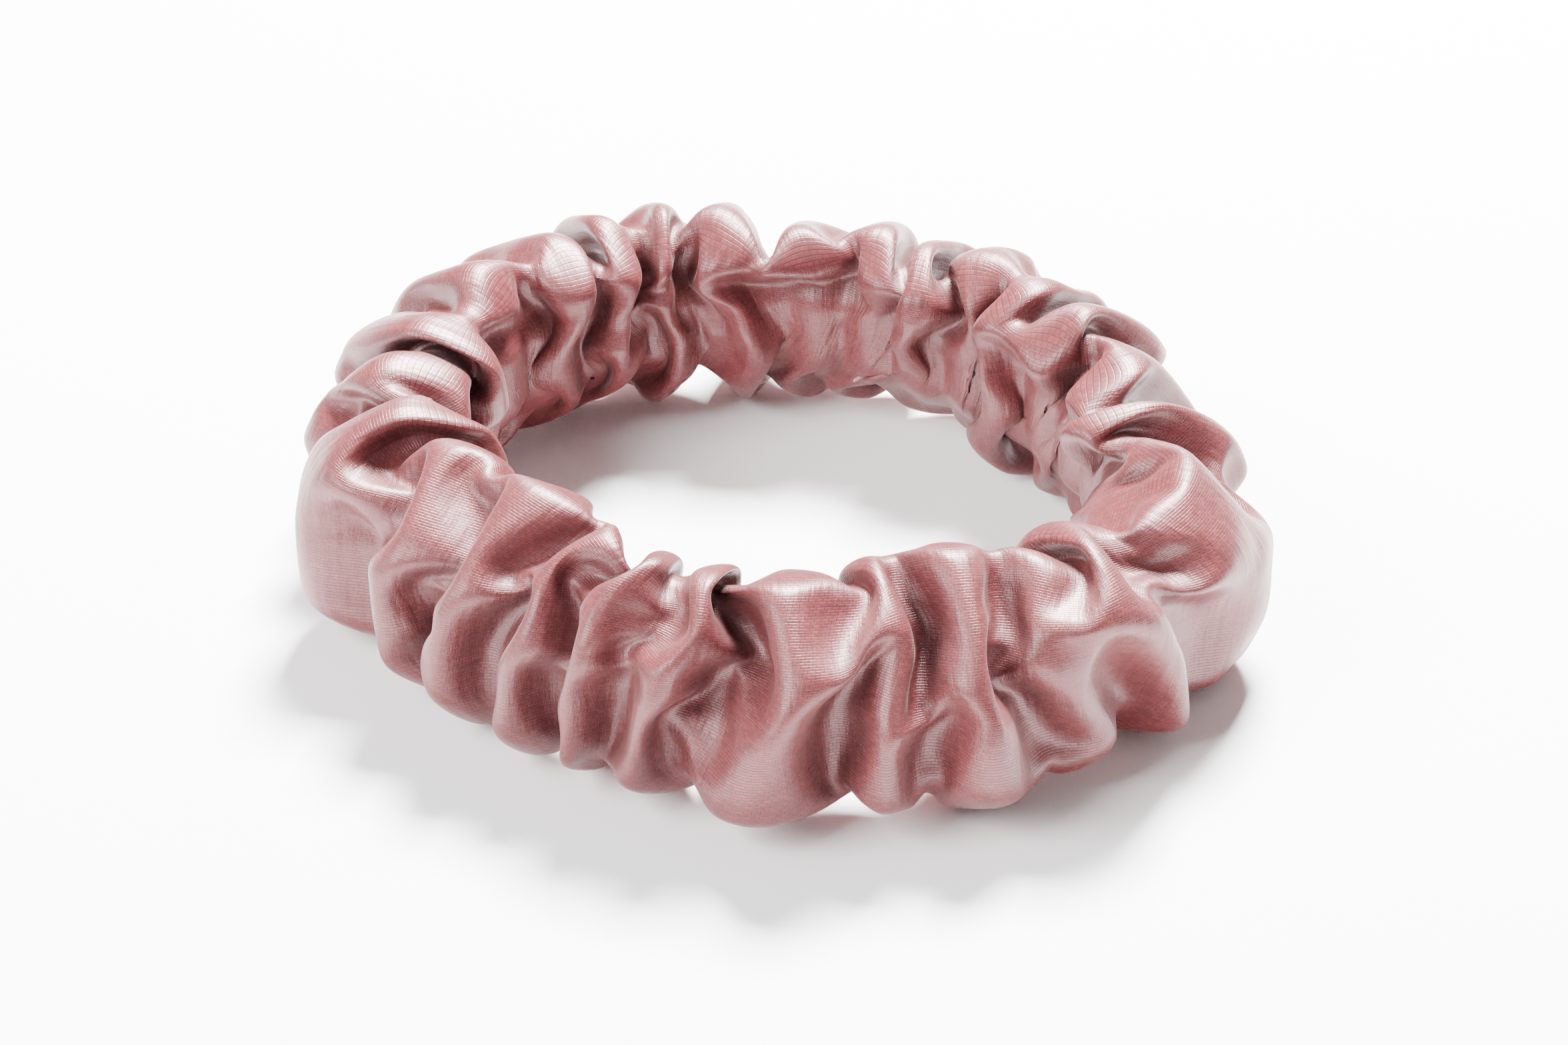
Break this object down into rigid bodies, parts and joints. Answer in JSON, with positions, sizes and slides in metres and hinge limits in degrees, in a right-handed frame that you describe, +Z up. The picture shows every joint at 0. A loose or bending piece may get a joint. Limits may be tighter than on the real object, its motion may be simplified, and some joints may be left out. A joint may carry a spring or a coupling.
{
  "type": "scrunchie",
  "caption": "Gathered satin scrunchie: a puffed fabric tube over a braided elastic loop, with a wide hole that takes a bundle of hair.",
  "frame": {"origin": "under the middle of the ring, on the surface that the scrunchie lies on", "axes": "+Z up, along the axis of the ring; the loop stretches along X, and its long diagonal points towards +X -Y"},
  "size_m": [0.106, 0.1058, 0.0268],
  "materials": {
    "satin": "satin",
    "braid": "matte",
    "rubber": "matte",
    "thread": "matte"
  },
  "bodies": {
    "right": {"satin_lead_end": "satin", "satin_tail_end": "satin", "closing_seam_stitching": "thread", "long_seam_stitching_lead_end": "thread", "long_seam_stitching_tail_end": "thread", "elastic_lead_end": "braid", "elastic_tail_end": "braid", "elastic_join_stitching": "thread", "rubber_cord_1_lead_end": "rubber", "rubber_cord_2_lead_end": "rubber", "rubber_cord_3_lead_end": "rubber", "rubber_cord_4_lead_end": "rubber", "rubber_cord_5_lead_end": "rubber", "rubber_cord_6_lead_end": "rubber", "rubber_cord_1_tail_end": "rubber", "rubber_cord_2_tail_end": "rubber", "rubber_cord_3_tail_end": "rubber", "rubber_cord_4_tail_end": "rubber", "rubber_cord_5_tail_end": "rubber", "rubber_cord_6_tail_end": "rubber"},
    "left": {"satin_left": "satin", "long_seam_stitching_left": "thread", "elastic_left": "braid", "rubber_cord_1_left": "rubber", "rubber_cord_2_left": "rubber", "rubber_cord_3_left": "rubber", "rubber_cord_4_left": "rubber", "rubber_cord_5_left": "rubber", "rubber_cord_6_left": "rubber"}
  },
  "joints": [
    {"name": "stretch", "type": "slide", "parent": "right", "child": "left", "axis": [-1, 0, 0], "range_m": [0, 0.07], "stiffness_N_per_m": 80}
  ]
}
